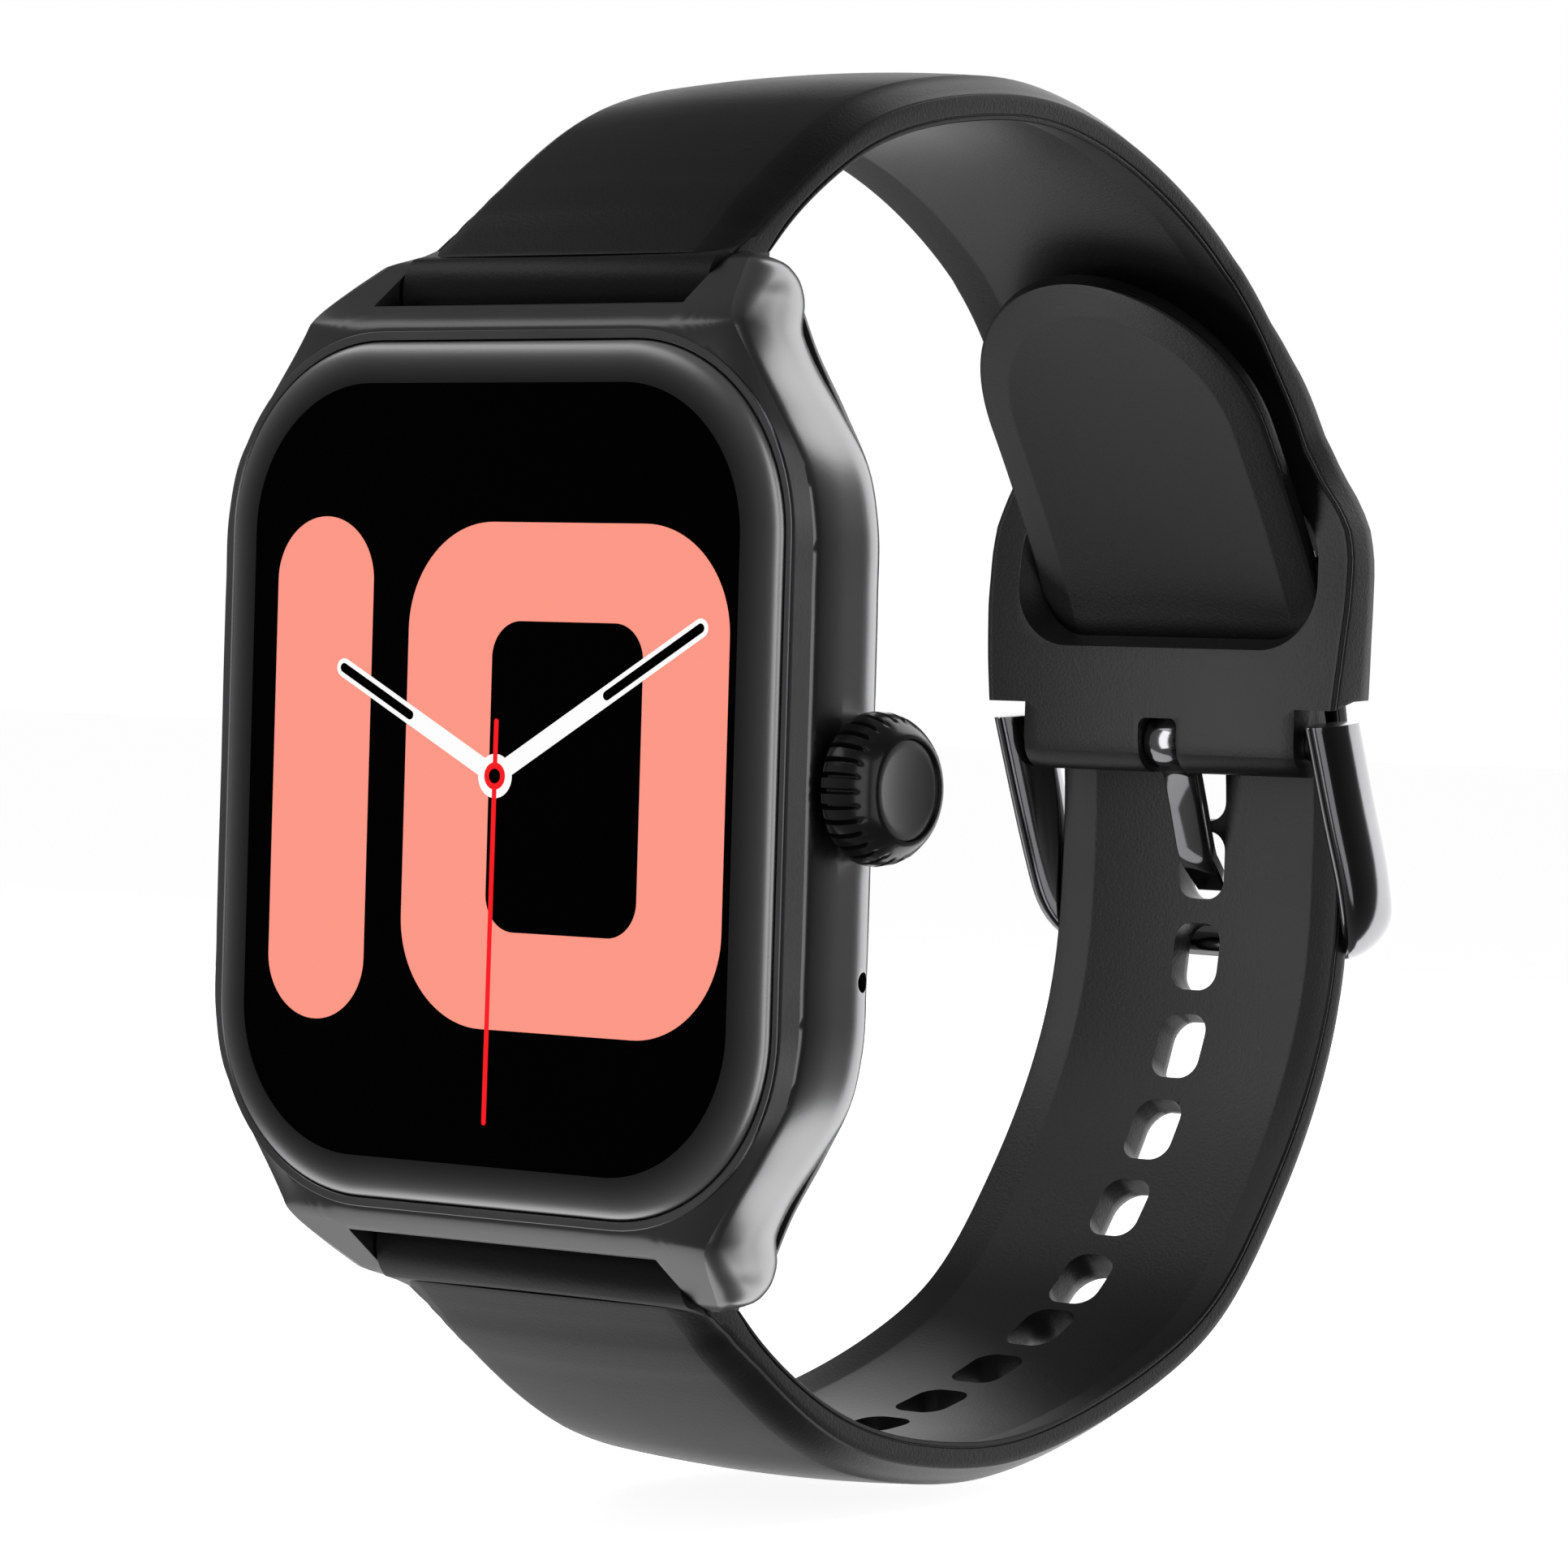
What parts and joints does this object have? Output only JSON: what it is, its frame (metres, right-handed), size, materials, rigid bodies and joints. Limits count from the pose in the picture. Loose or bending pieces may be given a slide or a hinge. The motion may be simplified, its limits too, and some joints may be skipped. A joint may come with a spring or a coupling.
{
  "type": "smartwatch",
  "caption": "Square smartwatch worn on the wrist: rounded glass display, knurled side crown, optical sensor back and a silicone strap closed by a tongue buckle.",
  "frame": {"origin": "middle of the flat outer face of the sensor window on the case back", "axes": "+X to the crown side, +Y from the dial back towards the wrist, +Z towards 12 o'clock"},
  "size_m": [0.0457, 0.0742, 0.0816],
  "materials": {
    "case_metal": "anodised near-black aluminium, satin flange and glossy side wall",
    "bezel_metal": "thin light grey chamfered ring round the glass",
    "cover_glass": "black glass, polished, domed at its edges",
    "gasket_black": "black seal foam",
    "display": "unlit display panel",
    "chassis_metal": "stamped aluminium plate",
    "battery_wrap": "wrapped lithium cell",
    "board": "soldermask",
    "shield_metal": "tinned shield can",
    "module_metal": "small metal module cans",
    "back_plastic": "black polished plastic",
    "screw_metal": "blackened steel",
    "sensor_glass": "black tinted window",
    "led": "green light emitters",
    "photodiode": "dark silicon",
    "contact_gold": "gold-plated charging pads",
    "crown_metal": "knurled, polished dark metal",
    "stem_steel": "turned steel",
    "seal_rubber": "black nitrile rings",
    "switch_plastic": "black moulded plastic",
    "bar_steel": "stainless steel",
    "strap_silicone": "black silicone, fine matte grain",
    "buckle_metal": "polished dark metal"
  },
  "bodies": {
    "case": {"mid_frame": "case_metal", "bezel_ring": "bezel_metal", "cover_glass": "cover_glass", "display_gasket": "gasket_black", "display_panel": "display", "chassis_plate": "chassis_metal", "battery": "battery_wrap", "main_board": "board", "board_shield": "shield_metal", "vibration_motor": "module_metal", "speaker": "module_metal", "microphone": "module_metal", "back_cover": "back_plastic", "back_gasket": "gasket_black", "case_screws": "screw_metal", "sensor_window": "sensor_glass", "sensor_board": "board", "sensor_leds": "led", "photodiodes": "photodiode", "charging_contacts": "contact_gold", "crown_tube": "stem_steel", "crown_guide": "switch_plastic", "crown_switch": "switch_plastic", "upper_bar_tube": "bar_steel", "lower_bar_tube": "bar_steel", "upper_strap": "strap_silicone", "lower_strap": "strap_silicone", "buckle_bar": "bar_steel"},
    "crown_slider": {"crown_carriage": "switch_plastic"},
    "crown": {"crown_knob": "crown_metal", "crown_stem": "stem_steel", "crown_seals": "seal_rubber"},
    "upper_pin": {"upper_bar_pin": "bar_steel"},
    "lower_pin": {"lower_bar_pin": "bar_steel"},
    "tongue": {"tongue": "buckle_metal"},
    "buckle": {"buckle_frame": "buckle_metal"}
  },
  "joints": [
    {"name": "crown_press", "type": "slide", "parent": "case", "child": "crown_slider", "axis": [-1, 0, 0], "range_m": [0, 0.0003], "stiffness_N_per_m": 500},
    {"name": "crown_turn", "type": "hinge", "parent": "crown_slider", "child": "crown", "pos_m": [0.022, -0.00515, 0], "axis": [1, 0, 0], "continuous": true},
    {"name": "upper_pin_slide", "type": "slide", "parent": "case", "child": "upper_pin", "axis": [-1, 0, 0], "range_m": [0, 0.0012], "stiffness_N_per_m": 500},
    {"name": "lower_pin_slide", "type": "slide", "parent": "case", "child": "lower_pin", "axis": [-1, 0, 0], "range_m": [0, 0.0012], "stiffness_N_per_m": 500},
    {"name": "tongue_swing", "type": "hinge", "parent": "case", "child": "tongue", "pos_m": [0, 0.0546, 0.0024], "axis": [-1, 0, 0], "range_deg": [0, 70]},
    {"name": "buckle_swing", "type": "hinge", "parent": "case", "child": "buckle", "pos_m": [0, 0.0546, 0.0024], "axis": [1, 0, 0], "range_deg": [0, 48]}
  ]
}
